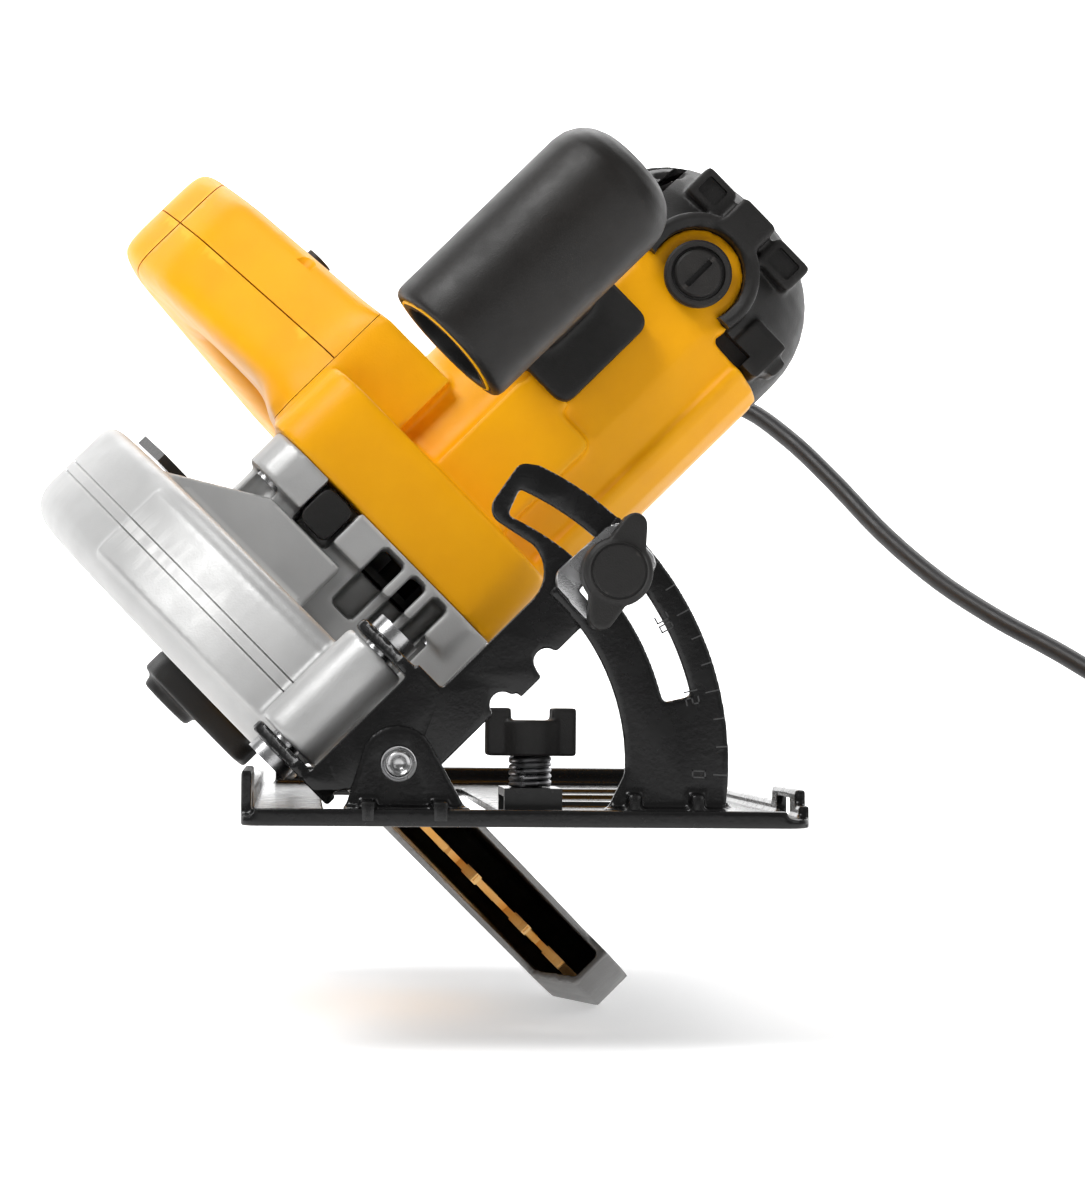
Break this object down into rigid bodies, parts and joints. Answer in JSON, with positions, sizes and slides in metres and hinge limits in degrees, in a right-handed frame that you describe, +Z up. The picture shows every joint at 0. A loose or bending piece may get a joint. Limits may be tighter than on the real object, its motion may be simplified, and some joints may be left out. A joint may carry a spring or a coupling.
{
  "type": "circular saw",
  "caption": "Corded hand circular saw on its base at 45 degrees: guards, toothed blade, geared motor, D-handle, front grip, depth and bevel brackets, fence knob and coiled cord.",
  "frame": {"origin": "centre of the saw's footprint at ground level, measured without the cord, its strain relief, coil and plug; ground touches the rim of the lower guard", "axes": "+Z up, +Y from the front edge of the base to its back, +X from the blade side to the motor side; -Z is the way the sole faces"},
  "size_m": [0.4227, 0.413, 0.2387],
  "materials": {
    "yellow": "satin moulded nylon",
    "black_plastic": "matte moulded",
    "soft_grip": "soft overmould",
    "cast": "die cast, painted silver grey",
    "guard_grey": "die cast, grey",
    "black_steel": "gloss black coat",
    "bright_steel": "zinc plated",
    "blade_steel": "lacquered steel",
    "spring_steel": "oiled",
    "core_steel": "laminated",
    "copper": "bare copper",
    "carbon": "pressed carbon",
    "cord_rubber": "matte cord sheath",
    "brass": "nickel plated brass"
  },
  "bodies": {
    "saw_body": {"upper_guard": "cast", "dust_port": "black_plastic", "spindle_bearings": "bright_steel", "gear_case": "cast", "gear_case_screws": "bright_steel", "motor_housing": "yellow", "housing_screws": "bright_steel", "end_cap": "black_plastic", "brush_caps": "black_plastic", "carbon_brushes": "carbon", "stator": "core_steel", "armature_bearings": "bright_steel", "left_handle": "yellow", "right_handle": "yellow", "handle_screws": "bright_steel", "switch": "black_plastic", "trigger_pin": "bright_steel", "front_handle_arm": "black_plastic", "front_handle_core": "black_plastic", "front_grip": "soft_grip", "depth_bolt": "bright_steel", "strain_relief": "cord_rubber", "cord_run": "cord_rubber", "cord_coil": "cord_rubber", "cord_ties": "black_plastic", "plug": "black_plastic", "plug_pins": "brass"},
    "tilt_frame": {"tilt_bracket": "black_steel", "depth_pin": "bright_steel", "depth_bracket": "black_steel"},
    "base": {"shoe": "black_steel", "front_ear": "black_steel", "bevel_quadrant": "black_steel", "rear_ear": "black_steel", "front_pivot": "bright_steel", "rear_pivot": "bright_steel", "fence_bridge": "black_steel", "fence_spring": "spring_steel"},
    "bevel_clamp": {"clamp_plate": "bright_steel", "clamp_bolt": "bright_steel"},
    "bevel_knob": {"bevel_knob": "black_plastic"},
    "fence_screw": {"fence_knob": "black_plastic"},
    "guard": {"lower_guard": "guard_grey", "guard_lever": "black_plastic", "guard_spring": "spring_steel"},
    "spindle": {"blade": "blade_steel", "inner_flange": "bright_steel", "outer_flange": "bright_steel", "blade_bolt": "bright_steel", "spindle_shaft": "bright_steel", "drive_gear": "core_steel"},
    "armature": {"armature_shaft": "bright_steel", "armature_core": "core_steel", "commutator": "copper", "fan": "black_plastic"},
    "depth_lever": {"depth_lever": "black_plastic"},
    "trigger": {"trigger": "black_plastic"},
    "lock_button": {"lock_button": "black_plastic"},
    "spindle_lock": {"spindle_lock": "black_plastic"}
  },
  "joints": [
    {"name": "depth_joint", "type": "hinge", "parent": "saw_body", "child": "tilt_frame", "pos_m": [-0.02704, -0.12322, 0.08422], "axis": [-0.7071, 0, -0.7071], "range_deg": [0, 30]},
    {"name": "bevel_joint", "type": "hinge", "parent": "tilt_frame", "child": "base", "pos_m": [-0.01148, -0.00822, 0.06866], "axis": [0, -1, 0], "range_deg": [-3, 45]},
    {"name": "clamp_joint", "type": "hinge", "parent": "tilt_frame", "child": "bevel_clamp", "pos_m": [-0.01148, -0.00822, 0.06866], "axis": [0, -1, 0], "range_deg": [-1.5, 20.6]},
    {"name": "bevel_knob_joint", "type": "hinge", "parent": "bevel_clamp", "child": "bevel_knob", "pos_m": [0.03916, -0.15722, 0.11426], "axis": [0, 1, 0], "range_deg": [0, 180]},
    {"name": "fence_knob_joint", "type": "hinge", "parent": "base", "child": "fence_screw", "pos_m": [0.02152, -0.11622, 0.06866], "axis": [0, 0, 1], "range_deg": [0, 360]},
    {"name": "guard_joint", "type": "hinge", "parent": "saw_body", "child": "guard", "pos_m": [-0.01954, -0.00822, 0.07672], "axis": [0.7071, 0, 0.7071], "range_deg": [0, 130], "stiffness_Nm_per_rad": 0.08, "springref_deg": -137.51},
    {"name": "spindle_joint", "type": "hinge", "parent": "saw_body", "child": "spindle", "pos_m": [-0.01954, -0.00822, 0.07672], "axis": [0.7071, 0, 0.7071], "continuous": true},
    {"name": "armature_joint", "type": "hinge", "parent": "saw_body", "child": "armature", "pos_m": [-0.03552, -0.00014, 0.0927], "axis": [0.7071, 0, 0.7071], "continuous": true},
    {"name": "depth_lever_joint", "type": "hinge", "parent": "saw_body", "child": "depth_lever", "pos_m": [-0.00299, 0.06578, 0.0828], "axis": [0.7071, 0, 0.7071], "range_deg": [0, 60]},
    {"name": "trigger_joint", "type": "hinge", "parent": "saw_body", "child": "trigger", "pos_m": [-0.04401, 0.07678, 0.19311], "axis": [-0.7071, 0, -0.7071], "range_deg": [0, 8], "stiffness_Nm_per_rad": 0.6, "springref_deg": -11.46},
    {"name": "lock_button_joint", "type": "slide", "parent": "saw_body", "child": "lock_button", "axis": [-0.7071, 0, -0.7071], "range_m": [0, 0.003], "stiffness_N_per_m": 500, "springref_m": -0.002},
    {"name": "spindle_lock_joint", "type": "slide", "parent": "saw_body", "child": "spindle_lock", "axis": [0, 1, 0], "range_m": [0, 0.003], "stiffness_N_per_m": 500, "springref_m": -0.002}
  ],
  "couplings": [
    {"joint": "armature_joint", "follows": "spindle_joint", "ratio": -3.6667},
    {"joint": "clamp_joint", "follows": "bevel_joint", "ratio": 0.4533}
  ]
}
